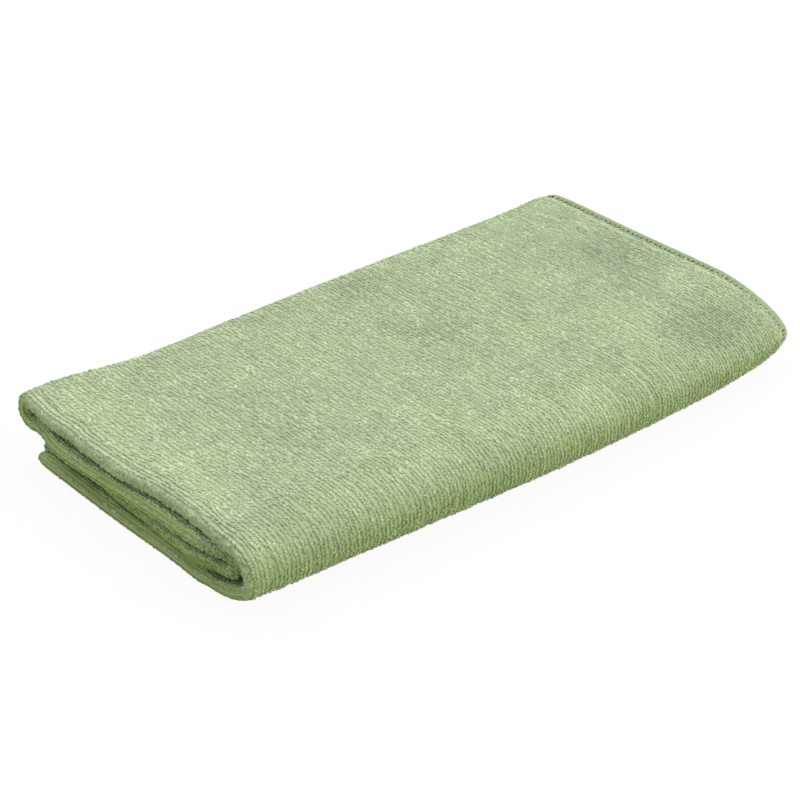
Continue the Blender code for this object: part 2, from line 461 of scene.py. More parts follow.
def blotches(tree, place, scale):
    """Soft noise around 0 over the places that a socket gives."""
    node = add_node(tree, "ShaderNodeTexNoise", Scale=scale, Detail=2.0, Roughness=0.5)
    feed(tree, node.inputs["Vector"], place)
    return worked(tree, "SUBTRACT", node.outputs["Fac"], NOISE_MIDDLE)


def new_group(name, inputs, outputs):
    """An empty shader node group with named sockets, and its two end nodes."""
    tree = bpy.data.node_groups.new(name, "ShaderNodeTree")
    for socket, kind in inputs:
        tree.interface.new_socket(socket, in_out="INPUT", socket_type=kind)
    for socket, kind in outputs:
        tree.interface.new_socket(socket, in_out="OUTPUT", socket_type=kind)
    return tree, tree.nodes.new("NodeGroupInput"), tree.nodes.new("NodeGroupOutput")


def yarn_colour_group():
    """The group that dyes yarn: a colour from root to tip by the tone, as bright as the shade
    and uneven in soft patches."""
    name = "yarn_colour"
    if name in bpy.data.node_groups:
        return bpy.data.node_groups[name]
    tree, start, end = new_group(
        name,
        (
            ("Root", "NodeSocketColor"),
            ("Tip", "NodeSocketColor"),
            ("Tone", "NodeSocketFloat"),
            ("Shade", "NodeSocketFloat"),
            ("Patches", "NodeSocketFloat"),
            ("Place", "NodeSocketVector"),
        ),
        (("Colour", "NodeSocketColor"),),
    )
    given = start.outputs
    broad = blotches(tree, given["Place"], BROAD_PATCHES)
    fine = blotches(tree, given["Place"], FINE_PATCHES)
    patches = worked(tree, "ADD", broad, worked(tree, "MULTIPLY", fine, FINE_SHARE))
    shift = worked(tree, "MULTIPLY", patches, given["Patches"])
    scaled = add_node(tree, "ShaderNodeVectorMath", operation="SCALE")
    feed(tree, scaled.inputs["Vector"], mixed(tree, given["Tone"], given["Root"], given["Tip"]))
    feed(tree, scaled.inputs["Scale"], worked(tree, "ADD", given["Shade"], shift))
    feed(tree, end.inputs["Colour"], scaled.outputs["Vector"])
    return tree


def fibre_group():
    """The group that gives the height of split fibres, fine noise drawn out along a strand."""
    name = "split_fibres"
    if name in bpy.data.node_groups:
        return bpy.data.node_groups[name]
    tree, start, end = new_group(
        name,
        (("Place", "NodeSocketVector"), ("Scale", "NodeSocketFloat")),
        (("Height", "NodeSocketFloat"),),
    )
    strands = add_node(tree, "ShaderNodeTexNoise", Detail=3.0, Roughness=0.7, Distortion=0.6)
    feed(tree, strands.inputs["Vector"], start.outputs["Place"])
    feed(tree, strands.inputs["Scale"], start.outputs["Scale"])
    feed(tree, end.inputs["Height"], strands.outputs["Fac"])
    return tree


def placed_group(tree, group, **values):
    """A group node in a material, each of its inputs fed by name."""
    node = add_node(tree, "ShaderNodeGroup", node_tree=group)
    for name, value in values.items():
        feed(tree, node.inputs[name], value)
    return node


def yarn_material(name, root, tip, sheen, *, patches, fibre_scale, fibre_depth, roughness):
    """The material of a yarn, whose colour follows the pieces' tone and shade attributes."""
    if name in bpy.data.materials:
        return bpy.data.materials[name]
    material = bpy.data.materials.new(name)
    material.use_nodes = True
    tree = material.node_tree
    place = add_node(tree, "ShaderNodeTexCoord").outputs["Object"]
    tone, shade = (
        add_node(tree, "ShaderNodeAttribute", attribute_name=attribute).outputs["Fac"]
        for attribute in ("tone", "shade")
    )
    dye = placed_group(
        tree, yarn_colour_group(), Root=root, Tip=tip, Tone=tone, Shade=shade, Patches=patches
    )
    feed(tree, dye.inputs["Place"], place)
    fibres = placed_group(tree, fibre_group(), Place=place, Scale=fibre_scale)
    bump = add_node(tree, "ShaderNodeBump", Strength=0.6, Distance=fibre_depth)
    feed(tree, bump.inputs["Height"], fibres.outputs["Height"])
    shader = set_up(
        tree.nodes["Principled BSDF"],
        Roughness=roughness,
        Specular_IOR_Level=0.3,
        Sheen_Weight=sheen,
        Sheen_Roughness=0.45,
        Sheen_Tint=(0.98, 1.0, 0.97, 1.0),
    )
    feed(tree, shader.inputs["Base Color"], dye.outputs["Colour"])
    feed(tree, shader.inputs["Normal"], bump.outputs["Normal"])
    return material


def pile_material(looks):
    """Fluffy split fibres, pale at the loops' tips and deep green between them."""
    dye = looks.pile_root, looks.pile_tip, looks.sheen
    return yarn_material(
        "terry_pile", *dye, patches=0.25, fibre_scale=2200.0, fibre_depth=0.00018, roughness=0.7
    )


def rim_material(looks):
    """The same yarn where it is matted down at the half folds, with less sheen."""
    dye = looks.pile_root, looks.pile_tip, looks.rim_sheen
    return yarn_material(
        "terry_rim", *dye, patches=0.2, fibre_scale=2200.0, fibre_depth=0.00018, roughness=0.8
    )


def ground_material(looks):
    """The knit that shows between the loops."""
    dye = looks.ground_dark, looks.ground_pale, looks.ground_sheen
    return yarn_material(
        "terry_ground", *dye, patches=0.1, fibre_scale=2600.0, fibre_depth=0.0002, roughness=0.9
    )


def thread_material(looks):
    """Smooth textured thread, a little bluer than the pile."""
    dye = looks.thread_root, looks.thread, looks.thread_sheen
    return yarn_material(
        "hem_thread", *dye, patches=0.2, fibre_scale=1500.0, fibre_depth=0.0001, roughness=0.7
    )


# ---------------------------------------------------------------------------------------------
# Meshes
# ---------------------------------------------------------------------------------------------


DRIFT_GRID = 400  # values a side in the grids of soft unevenness
UPWARD_PAINTED_SHEEN = 0.57  # how much paler the cloth is painted where it faces upwards, a painted sheen of the light from above

# The corners of the two triangles that share a cell of the bake map, as shares of its side
LOWER_ROOM = ((0.06, 0.04), (0.92, 0.04), (0.06, 0.90))
UPPER_ROOM = ((0.94, 0.96), (0.08, 0.96), (0.94, 0.10))


def new_piece(name, mesh, material):
    """Puts a finished mesh in the scene as a piece of the cloth."""
    mesh.materials.append(material)
    mesh.shade_smooth()
    piece = bpy.data.objects.new(name, mesh)
    bpy.context.scene.collection.objects.link(piece)
    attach(piece, "root")
    return piece


def drift(across, along, seed, reach_across, reach_along):
    """Soft unevenness between -1 and 1 that changes over these reaches."""
    grid = np.random.default_rng(seed).uniform(-1.0, 1.0, (DRIFT_GRID, DRIFT_GRID))
    i, j = across / reach_across, along / reach_along
    low_i, low_j = i.astype(int), j.astype(int)
    part_i, part_j = eased(i - low_i), eased(j - low_j)
    low = grid[low_i, low_j] * (1 - part_j) + grid[low_i, low_j + 1] * part_j
    high = grid[low_i + 1, low_j] * (1 - part_j) + grid[low_i + 1, low_j + 1] * part_j
    return low * (1 - part_i) + high * part_i


def between(values, at):
    """The rows of an array at places between them."""
    low = np.minimum(at.astype(int), len(values) - 2)
    part = (at - low).reshape(-1, *[1] * (values.ndim - 1))
    return values[low] * (1 - part) + values[low + 1] * part


def template(shape):
    """The vertices and triangles of a small shape."""
    bmesh.ops.triangulate(shape, faces=shape.faces)
    shape.verts.index_update()
    points = np.array([vert.co for vert in shape.verts])
    faces = np.array([[vert.index for vert in face.verts] for face in shape.faces])
    shape.free()
    return points, faces


def soften(mesh, shape, frames, outs, softness):
    """Turns the normals of every copy of a ball towards the way out of the cloth, as light
    spreads through fluff."""
    points, _ = shape
    scales = (frames**2).sum(axis=1, keepdims=True)
    normals = unit(np.einsum("nij,vj->nvi", frames / scales, points))
    normals = unit(normals * (1 - softness) + outs[:, None] * softness)
    mesh.normals_split_custom_set_from_vertices(normals.reshape(-1, 3))


def bake_map(mesh, copies, faces):
    """Gives every triangle of every copy its own room in a texture."""
    rows = math.ceil(math.sqrt(copies))
    cells = math.ceil(math.sqrt(math.ceil(faces / 2)))
    copy, face = np.divmod(np.arange(copies * faces), faces)
    room, half = np.divmod(face, 2)
    step = 1.0 / (rows * cells)
    column = (copy % rows) * cells + room % cells
    row = (copy // rows) * cells + room // cells
    shape = np.where(half[:, None, None] == 0, LOWER_ROOM, UPPER_ROOM)
    corner_at = (np.stack([column, row], axis=1)[:, None] + shape) * step
    layer = mesh.uv_layers.new(name="OFBake")
    layer.uv.foreach_set("vector", corner_at.astype(np.float32).ravel())


def set_attribute(mesh, name, values):
    """Stores a value for every point of a mesh."""
    attribute = mesh.attributes.new(name, "FLOAT", "POINT")
    attribute.data.foreach_set("value", np.ravel(values).astype(np.float32))


def joined(name, shape, frames, places, tones, shades, unevenness=0.0, seed=0):
    """One mesh of many copies of a shape, each turned and scaled by its own frame, and with
    its points moved by a share of their distance from its middle."""
    points, faces = shape
    count = len(places)
    uneven = np.random.default_rng(seed).normal(1.0, unevenness, (count, len(points), 1))
    vertices = np.einsum("nij,nvj->nvi", frames, points * uneven) + places[:, None]
    corners = faces[None] + (np.arange(count) * len(points))[:, None, None]
    mesh = bpy.data.meshes.new(name)
    mesh.vertices.add(vertices.shape[0] * vertices.shape[1])
    mesh.vertices.foreach_set("co", vertices.astype(np.float32).ravel())
    mesh.loops.add(corners.size)
    mesh.loops.foreach_set("vertex_index", corners.astype(np.int32).ravel())
    mesh.polygons.add(corners.size // 3)
    mesh.polygons.foreach_set("loop_start", np.arange(0, corners.size, 3, dtype=np.int32))
    mesh.update(calc_edges=True)
    bake_map(mesh, count, len(faces))
    set_attribute(mesh, "tone", np.repeat(tones, len(points)))
    set_attribute(mesh, "shade", np.repeat(shades, len(points)))
    return mesh


# ---------------------------------------------------------------------------------------------
# The ground knit
# ---------------------------------------------------------------------------------------------


LINE_REACH = 0.25  # half the width of the pale line in the bare knit, in mm
LINE_PAINTED_HIGHLIGHT = 0.7  # how much brighter that line is painted: the bare knit, with a painted highlight where the turning fold catches the light
BARE_TONE = 0.05  # how pale the bare knit is, from the dark ground's colour to the pale one's
GROUND_TONE = 0.15  # and the ground between the loops
HEM_PAINTED_LIGHT = 0.4  # and how much paler it is painted by the hemmed end, painted light that lifts the shade between the stitches


def ground_thickness(sheet, nap):
    """The sheet's own thickness, less than the ply by the pile's nap, but not underneath."""
    thick = sheet.ply - 2 * nap
    thick[:, :TOE_AT] += 2 * nap
    return thick


def to_parting(distance):
    """How far a distance over the face, in mm, is from the nearest place where ribs part."""
    return np.abs(np.subtract.outer(distance, PARTINGS)).min(axis=-1)


def ground_colours(sheet):
    """The tones and shades of the ground: paler on top as painted sheen, paler by the hemmed end as
    painted light, darker and lighter under the painted shading spots, and where the ribs part at the
    half folds of the lower layers olive with pale lines, the bare knit with a painted highlight."""
    along = sheet.along / MM
    layers = np.arange(sheet.ply.shape[1])
    bent = (along > FACE_END) & (along < OVER_END)
    inside = (layers >= INSIDE_AT) & (layers <= THIRD_AT)
    lower = bent[:, None] & ((layers < SHOULDER_AT) | (layers > BACK_AT)) & ~inside
    # painted light by the hemmed end lifts the shade in the needle holes between the stitches
    hem_painted_light = HEM_PAINTED_LIGHT * (along < HEM_WIDTH)
    tones = GROUND_TONE + UPWARD_PAINTED_SHEEN * np.clip(sheet.out[..., 2], 0.0, 1.0) + hem_painted_light[:, None]
    # the pale lines get a painted highlight, and the shading spots paint shade, light where minus
    line = LINE_PAINTED_HIGHLIGHT * near(to_parting(along), LINE_REACH)
    shades = 1 - sheet.brushed + lower * line[:, None]
    return np.where(lower, BARE_TONE, tones), shades


def knit_ground(sizes):
    """The square, cut as a flat grid of side 1 whose points are then moved to where they lie
    folded, with each point's share of the full thickness."""
    sheet = folded()
    rows, columns = sheet.ply.shape
    thick = ground_thickness(sheet, sizes.nap)
    full = thick.max()
    mesh = bpy.data.meshes.new("ground_knit")
    cut = bmesh.new()
    bmesh.ops.create_grid(cut, x_segments=rows - 1, y_segments=columns - 1, size=0.5)
    colours = ground_colours(sheet)
    shares, tones, shades = [], [], []
    for vert in cut.verts:
        row = round((vert.co.x + 0.5) * (rows - 1))
        column = round((vert.co.y + 0.5) * (columns - 1))
        vert.co = sheet.middle[row, column]
        shares.append(thick[row, column] / full)
        tones.append(colours[0][row, column])
        shades.append(colours[1][row, column])
    cut.to_mesh(mesh)
    cut.free()
    set_attribute(mesh, "tone", tones)
    set_attribute(mesh, "shade", shades)
    return mesh, shares, full


class CLOTH_OT_ground_knit(bpy.types.Operator):
    """Folds the ground knit that carries the pile and the hem"""

    bl_idname = "cloth.ground_knit"
    bl_label = "Ground Knit"

    def execute(self, context):
        mesh, shares, full = knit_ground(context.scene.cloth_sizes)
        material = ground_material(context.scene.cloth_looks)
        piece = new_piece("ground_knit", mesh, material)
        group = piece.vertex_groups.new(name="ply")
        for index, share in enumerate(shares):
            group.add([index], share, "REPLACE")
        solid = piece.modifiers.new("ply", "SOLIDIFY")
        solid.thickness = full
        solid.offset = 0
        solid.use_quality_normals = True
        solid.vertex_group = group.name
        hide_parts(NODE)
        return {"FINISHED"}


# ---------------------------------------------------------------------------------------------
# The pile
# ---------------------------------------------------------------------------------------------

# How loops stand: their pitch, height, width and length as shares of the usual, how unruly they
# lie, how soft they look and how pale they are. The matted rims round the outer half fold are
# paler, painted light, and the rims of the lower layers and the inside of the front fold darker,
# painted shade.
Pile = namedtuple("Pile", "pitch high wide long unruly soft tone")
FRONT_PILE = Pile(1, 1.5, 0.92, 0.72, 0.65, -0.1, 0.2)
TOP_PILE = Pile(1, 1.1, 1, 1, 0.9, 0, 0.16)
MATTED_PILE = Pile(0.55, 0.8, 0.8, 1.2, 1, 0.25, 0.3)

# The stretches of the face that carry loops: the section's columns and the distances over the
# face from the hemmed end that each runs between, and its pile
Stretch = namedtuple("Stretch", "name first last start end pile")
STRETCHES = (
    Stretch("pile_front", TOE_AT + 2, SHOULDER_AT, 0, ROPES_START, FRONT_PILE),
    Stretch("pile_top_right", SHOULDER_AT, BACK_AT, 0, FACE_MIDDLE, TOP_PILE._replace(high=1.2)),
    Stretch("pile_top_left", SHOULDER_AT, BACK_AT, FACE_MIDDLE, ROPES_START, TOP_PILE),
    Stretch("pile_back", BACK_AT, SECOND_AT + 4, 0, FACE_END, Pile(1.1, 1.1, 1.1, 1.1, 0.9, 0, 0.16)),
    Stretch("front_left", RIM_AT, ROPES_AT, ROPES_START, ROPES_END, FRONT_PILE),
    Stretch("ropes", ROPES_AT, BACK_AT, ROPES_START, ROPES_END, Pile(1, 1.6, 0.75, 1.1, 0.5, -0.3, 0.2)),
    Stretch("rim_front", RIM_AT, TUFTS_AT, ROPES_END, TURN_END, MATTED_PILE),
    Stretch("rim_flat", TUFTS_AT, BACK_AT, ROPES_END, TUFTS_START, MATTED_PILE),
    Stretch("rim_tufts", TUFTS_AT, BACK_AT, TUFTS_START, TURN_END, Pile(0.9, 2, 0.9, 1.1, 1.5, 0.15, 0.3)),
    Stretch("rim_second", BACK_AT, INSIDE_AT, FACE_END, OVER_END, Pile(0.8, 1.2, 0.75, 1, 0.7, 0, 0.12)),
    Stretch("rim_inside", INSIDE_AT, THIRD_AT, FACE_END, OVER_END, Pile(1, 1.5, 0.8, 1.1, 1.2, 0, 0.2)),
    Stretch("rim_bottom", 2, RIM_AT, FACE_END, OVER_END, Pile(0.8, 0.55, 0.85, 1, 0.7, 0, 0.1)),
    Stretch("rim_third", THIRD_AT, -3, FACE_END, TURN_END, Pile(0.7, 0.8, 0.9, 1, 1, 0.2, 0)),
    Stretch("inside_front", RIM_AT, SHOULDER_AT + 6, TURN_END, INSIDE_END, Pile(1, 1, 1, 1, 0.7, 0, 0.1)),
)
PARTED = ("rim_second", "rim_bottom")  # the stretches that have the bare lines

UPWARD_SOFT = 0.18  # how much softer loops look that face upwards
LOOP_UNEVENNESS = 0.12
LOOP_SHIFT = 0.382  # from rib to rib, as a share of the loop pitch
RAISED = 0.2  # how far a loop's middle stands off the knit, as a share of half its height
RIM_REACH = 0.004  # how far from the half fold the loops are paler
RESTING = 0.9  # how far a loop stays off what the cloth rests on, as a share of half its height
OFF_BAND = 0.4  # how far inside the hem's band it may stand, as a share of half its width

# Soft unevenness over the pile, by its seed and its reach across and along the ribs in metres:
# the way loops lie and how they fluff up. How ribs part changes from each rib to the next.
LAY_DRIFT = (11, 0.0065, 0.0055)
FLUFF_DRIFT = (13, 0.0018, 0.0015)
PARTING_SEED = 12
PARTING_ALONG = 0.006

# How much loops change with the lay, the parting of the ribs, the fluff, the nearness of a hem
# or a half fold, and by chance
Change = namedtuple("Change", "lay parting fluff hem fold chance", defaults=(0.0,) * 6)
LOOP_YAW = Change(lay=0.25, chance=0.75)  # in radians
LOOP_LEAN = Change(lay=0.2, chance=0.25)
USUAL_LEAN = 0.2
LOOP_SIZE = Change(fluff=0.1, chance=0.14)
MOST_CHANCE = 0.3  # the furthest that chance changes a size
LOOP_WIDTH = Change(parting=0.2)
LOOP_HEIGHT = Change(fluff=0.2, hem=-0.3)
LOOP_ASIDE = Change(parting=0.2, chance=0.18)  # as shares of the rib pitch
LOOP_ONWARD = Change(chance=0.25)  # as a share of the loop pitch
LOOP_TONE = Change(hem=0.2)
LOOP_SHADE = Change(lay=0.085, parting=0.04, fluff=0.14, hem=0.12, fold=0.05, chance=0.095)

BAND_SHARE = 0.85  # how much of the stitches' reach is clear of loops
FRONT_HEM = 30.0  # how far back the front fold's hem runs, in mm
FRONT_WIDER = 0.9  # by how much its band is wider at most, as a share


def front_share(place):
    """How far the hem's band widens where it turns down the front fold, at places on it."""
    down = (TABLE_ZERO.y + FRONT_HEM * MM - place[:, 1]) / (FRONT_HEM * MM)
    return FRONT_WIDER * np.clip(down, 0.0, 1.0)


Loops = namedtuple("Loops", "place out along x distance brushed")
Drifts = namedtuple("Drifts", "lay parting fluff hem fold")


def rib_loops(sheet, sizes, stretch, rib_pitch, loop_pitch):
    """Where the loops of a stretch stand: place, way out, way along the rib, the rib's distance
    from the hemmed end, distance along the rib and the painted shade of the shading spots there,
    painted light where minus."""
    first = max(sizes.hem_band, stretch.start * MM)
    ribs = np.arange(math.ceil(first / rib_pitch), stretch.end * MM / rib_pitch)
    columns = sheet.ply.shape[1]
    last = stretch.last % columns
    thick = ground_thickness(sheet, sizes.nap)
    found = []
    for rib in ribs:
        row = np.interp(rib * rib_pitch, sheet.along, np.arange(len(sheet.along)))
        at = np.array([row])
        out = unit(between(sheet.out, at)[0])
        skin = between(sheet.middle, at)[0] + out * between(thick, at)[0][:, None] / 2
        walked = walked_along(skin)
        offset = rib * LOOP_SHIFT % 1
        low = math.ceil(walked[stretch.first] / loop_pitch - offset)
        high = walked[last] / loop_pitch - offset
        far = (np.arange(low, high) + offset) * loop_pitch
        column = np.interp(far, walked, np.arange(columns))
        place = between(skin, column)
        ways = unit(between(np.gradient(skin, axis=0), column))
        outs = unit(between(out, column))
        brushed = between(between(sheet.brushed, at)[0], column)
        found.append(Loops(place, outs, ways, np.full(len(far), rib * rib_pitch), far, brushed))
    return Loops(*(np.concatenate(part) for part in zip(*found)))


def loop_drifts(loops, band, rib_pitch):
    """What makes the loops differ over the cloth, with the nearness of the hem's band and of
    the half fold."""
    x, far = loops.x, loops.distance
    fold = FACE_END * MM
    return Drifts(
        drift(x, far, *LAY_DRIFT),
        drift(x, far, PARTING_SEED, rib_pitch, PARTING_ALONG),
        drift(x, far, *FLUFF_DRIFT),
        near(x - band, rib_pitch),
        near(x - fold, RIM_REACH) * (x < fold),
    )


def loop_frames(loops, drifts, sizes, pile, chance):
    """How each loop lies: the vectors along half its length, width and height, and how long
    the last two are."""
    unruly = pile.unruly
    across = np.cross(loops.out, loops.along)
    yaw = LOOP_YAW.lay * drifts.lay * unruly + chance(LOOP_YAW.chance * unruly)
    long_way = across * np.sin(yaw)[:, None] + loops.along * np.cos(yaw)[:, None]
    lean = (USUAL_LEAN + LOOP_LEAN.lay * drifts.lay) * unruly + chance(LOOP_LEAN.chance * unruly)
    up = unit(loops.out + long_way * lean[:, None])
    long_way = unit(long_way - up * (long_way * up).sum(1, keepdims=True))
    wide_way = np.cross(up, long_way)
    stray = chance(LOOP_SIZE.chance).clip(-MOST_CHANCE, MOST_CHANCE)
    size = 1 + LOOP_SIZE.fluff * drifts.fluff + stray
    wide = size + LOOP_WIDTH.parting * drifts.parting
    high = size + LOOP_HEIGHT.fluff * drifts.fluff + LOOP_HEIGHT.hem * drifts.hem
    half_long = sizes.loop_long / 2 * size * pile.long
    half_wide = sizes.loop_wide / 2 * wide * pile.wide
    half_high = sizes.loop_high / 2 * high * pile.high
    ways = (long_way, half_long), (wide_way, half_wide), (up, half_high)
    return np.stack([way * half[:, None] for way, half in ways], axis=2), half_wide, half_high


def raise_loops(sheet, sizes, stretch, seed):
    """The pile of one stretch: a loop for each place, leaning and uneven as pile is."""
    pile = stretch.pile
    rib_pitch, loop_pitch = sizes.rib_pitch * pile.pitch, sizes.loop_pitch * pile.pitch
    loops = rib_loops(sheet, sizes, stretch, rib_pitch, loop_pitch)
    band = sizes.hem_band * (BAND_SHARE + BAND_SHARE * front_share(loops.place))
    drifts = loop_drifts(loops, band, rib_pitch)
    rng = np.random.default_rng(seed)

    def chance(spread):
        """What chance adds to each loop."""
        return rng.normal(0.0, spread, len(loops.x))

    frames, half_wide, half_high = loop_frames(loops, drifts, sizes, pile, chance)
    aside = LOOP_ASIDE.parting * drifts.parting + chance(LOOP_ASIDE.chance * pile.unruly)
    onward = chance(LOOP_ONWARD.chance * pile.unruly)
    across = np.cross(loops.out, loops.along)
    shift = across * (aside * rib_pitch)[:, None] + loops.along * (onward * loop_pitch)[:, None]
    places = loops.place + loops.out * (half_high * RAISED)[:, None] + shift
    upward = np.clip(loops.out[:, 2], 0.0, 1.0)
    # loops that face upwards are painted paler, a painted sheen of the light from above
    tones = np.clip(pile.tone + UPWARD_PAINTED_SHEEN * upward + LOOP_TONE.hem * drifts.hem, 0, 1)
    shades = 1 + LOOP_SHADE.fluff * drifts.fluff + LOOP_SHADE.lay * drifts.lay
    shades += LOOP_SHADE.parting * drifts.parting + LOOP_SHADE.hem * drifts.hem
    # the shading spots take their painted shade off the loops, and add painted light where minus
    shades += LOOP_SHADE.fold * drifts.fold + chance(LOOP_SHADE.chance) - loops.brushed
    clear = (places[:, 2] > half_high * RESTING) & (loops.x + half_wide * OFF_BAND > band)
    if stretch.name in PARTED:
        clear &= to_parting(loops.x / MM) > PARTING_REACH
    frames, places, outs = frames[clear], places[clear], loops.out[clear]
    softness = (pile.soft + UPWARD_SOFT * upward[clear])[:, None, None]
    ball = bmesh.new()
    bmesh.ops.create_icosphere(ball, subdivisions=1, radius=1.0)
    shape = template(ball)
    colours = tones[clear], shades[clear]
    mesh = joined(stretch.name, shape, frames, places, *colours, LOOP_UNEVENNESS, seed)
    mesh.shade_smooth()
    soften(mesh, shape, frames, outs, softness)
    return mesh


class CLOTH_OT_pile(bpy.types.Operator):
    """Raises the terry loops in ribs over the face of the ground knit"""

    bl_idname = "cloth.pile"
    bl_label = "Pile"

    def execute(self, context):
        sheet = folded()
        sizes = context.scene.cloth_sizes
        looks = context.scene.cloth_looks
        for seed, stretch in enumerate(STRETCHES, start=1):
            matted = stretch.name.startswith("rim")
            material = rim_material(looks) if matted else pile_material(looks)
            new_piece(stretch.name, raise_loops(sheet, sizes, stretch, seed), material)
        return {"FINISHED"}


# ---------------------------------------------------------------------------------------------
# The overlocked hem
# ---------------------------------------------------------------------------------------------

# A stitch's path round the edge: how far out from the edge, as a share of the band, and how
# far up from the middle, as a share of half the hem's thickness. The last column is its width
# as a share of the pitch.
StitchPoint = namedtuple("StitchPoint", "out up wide")
STITCH_PATH = (
    StitchPoint(-1.05, 0.5, 0.5),
    StitchPoint(-0.9, 1.1, 1.2),
    StitchPoint(-0.45, 1.25, 1.4),
    StitchPoint(0.0, 0.9, 1.5),
    StitchPoint(0.15, 0.0, 1.5),
    StitchPoint(0.0, -0.9, 1.5),
    StitchPoint(-0.45, -1.25, 1.4),
    StitchPoint(-0.9, -1.1, 1.2),
    StitchPoint(-1.05, -0.5, 0.5),
)
STITCH_SIDES = 4
NEEDLE_EVERY = 3  # of these stitches, one is drawn in less far, which leaves the needle's hole
NEEDLE_REACH = 0.6  # how far in that one reaches, as a share of the others
STITCH_SLANT = math.radians(8)
SLANT_CHANCE = 0.05
STITCH_CHANCE = 0.03  # in a stitch's size
STITCH_INSET = 0.12  # how far in the stitches are pulled, as a share of the band
STITCH_TONE = 0.6
TONE_CHANCE = 0.12
FIRST_HEM_SEED = 21  # past the seeds of the pile

# The four edges in the sheet's rows and columns, each with a line of the sheet inside it
Edge = namedtuple("Edge", "name at inside")
EDGES = (
    Edge("hem_outer_ply", np.s_[0], np.s_[2]),
    Edge("hem_inner_ply", np.s_[-1], np.s_[-2]),
    Edge("hem_bottom_layer", np.s_[:, 0], np.s_[:, 2]),
    Edge("hem_third_layer", np.s_[:, -1], np.s_[:, -3]),
)


def stitch_template(sizes):
    """A stitch in its own frame: X out from the edge, Y along it and Z out of the face."""
    shape = bmesh.new()
    path = [
        Vector((point.out * sizes.hem_band, 0.0, point.up * sizes.hem_thick / 2))
        for point in STITCH_PATH
    ]
    rings = []
    for i, (here, point) in enumerate(zip(path, STITCH_PATH)):
        way = (path[min(i + 1, len(path) - 1)] - path[max(i - 1, 0)]).normalized()
        turn_to = Matrix((way.cross(Vector((0, 1, 0))), Vector((0, 1, 0)), way)).transposed()
        size = Vector((sizes.thread_thick / 2, point.wide * sizes.stitch_pitch / 2, 1.0))
        place = Matrix.LocRotScale(here, turn_to.to_quaternion(), size)
        made = bmesh.ops.create_circle(
            shape, segments=STITCH_SIDES, radius=1.0, cap_ends=False, matrix=place
        )
        rings.append(made["verts"])
    for before, after in zip(rings, rings[1:]):
        touching = {edge for vert in before + after for edge in vert.link_edges}
        ends = [edge for edge in touching if all(vert in before for vert in edge.verts)]
        ends += [edge for edge in touching if all(vert in after for vert in edge.verts)]
        bmesh.ops.bridge_loops(shape, edges=ends)
    bmesh.ops.holes_fill(shape, edges=shape.edges)
    bmesh.ops.recalc_face_normals(shape, faces=shape.faces)
    return template(shape)


def edge_line(sheet, edge):
    """The middle of the sheet's edge, the way out of its face and the way off the cloth."""
    middle, out = sheet.middle[edge.at], sheet.out[edge.at]
    off = np.cross(unit(np.gradient(middle, axis=0)), out)
    flip = np.sign(((middle - sheet.middle[edge.inside]) * off).sum(-1, keepdims=True))
    return middle, out, unit(off * flip)


def overlock(sheet, sizes, edge, seed):
    """The stitches along one edge."""
    middle, out, off = edge_line(sheet, edge)
    walked = walked_along(middle)
    count = round(walked[-1] / sizes.stitch_pitch)
    far = (np.arange(count) + 0.5) * walked[-1] / count
    at = np.interp(far, walked, np.arange(len(walked)))
    place, up, way = between(middle, at), unit(between(out, at)), unit(between(off, at))
    along = np.cross(up, way)
    rng = np.random.default_rng(seed)
    slant = STITCH_SLANT + rng.normal(0.0, SLANT_CHANCE, count)
    turned = way * np.cos(slant)[:, None] + along * np.sin(slant)[:, None]
    size = 1 + rng.normal(0.0, STITCH_CHANCE, count)
    reach = np.where(np.arange(count) % NEEDLE_EVERY == 0, NEEDLE_REACH, 1.0) * size
    reach *= 1 + front_share(place)
    frames = np.stack(
        [turned * reach[:, None], np.cross(up, turned) * size[:, None], up * size[:, None]],
        axis=2,
    )
    places = place - way * (STITCH_INSET * sizes.hem_band)
    deepest = (max(point.up for point in STITCH_PATH) * sizes.hem_thick + sizes.thread_thick) / 2
    places[:, 2] = np.maximum(places[:, 2], deepest)  # above what the cloth rests on
    tones = np.clip(STITCH_TONE + rng.normal(0.0, TONE_CHANCE, count), 0, 1)
    return joined(edge.name, stitch_template(sizes), frames, places, tones, np.ones(count))


class CLOTH_OT_hem(bpy.types.Operator):
    """Overlocks the four edges of the cloth"""

    bl_idname = "cloth.hem"
    bl_label = "Overlocked Hem"

    def execute(self, context):
        sheet = folded()
        sizes = context.scene.cloth_sizes
        material = thread_material(context.scene.cloth_looks)
        for seed, edge in enumerate(EDGES, start=FIRST_HEM_SEED):
            new_piece(edge.name, overlock(sheet, sizes, edge, seed), material)
        return {"FINISHED"}


class CLOTH_OT_declare(bpy.types.Operator):
    """A step that leaves the cloth as it is"""

    bl_idname = "cloth.declare"
    bl_label = "Declare the Cloth"

    def execute(self, context):
        return {"FINISHED"}


# ---------------------------------------------------------------------------------------------
# The stage
# ---------------------------------------------------------------------------------------------

CAMERA_AT = Vector((-258.81, -364.92, 325.21)) * MM  # in the tables' frame
CAMERA_DOWN = 30.45  # degrees below level
CAMERA_YAW = 49.82  # degrees from the way it looks to the cloth's length
FLOOR_REACH = 3.0
FLOOR_DROP = 0.0001  # how far under the cloth the floor lies

Lamp = namedtuple("Lamp", "name at size power")
LAMPS = (
    Lamp("overhead_softbox", (0.35, 0.75, 1.35), 2.4, 28.5),
    Lamp("front_fill", (0.9, -1.3, 0.7), 1.8, 24.5),
    Lamp("left_fill", (-1.5, -0.3, 0.45), 1.4, 3.0),
)


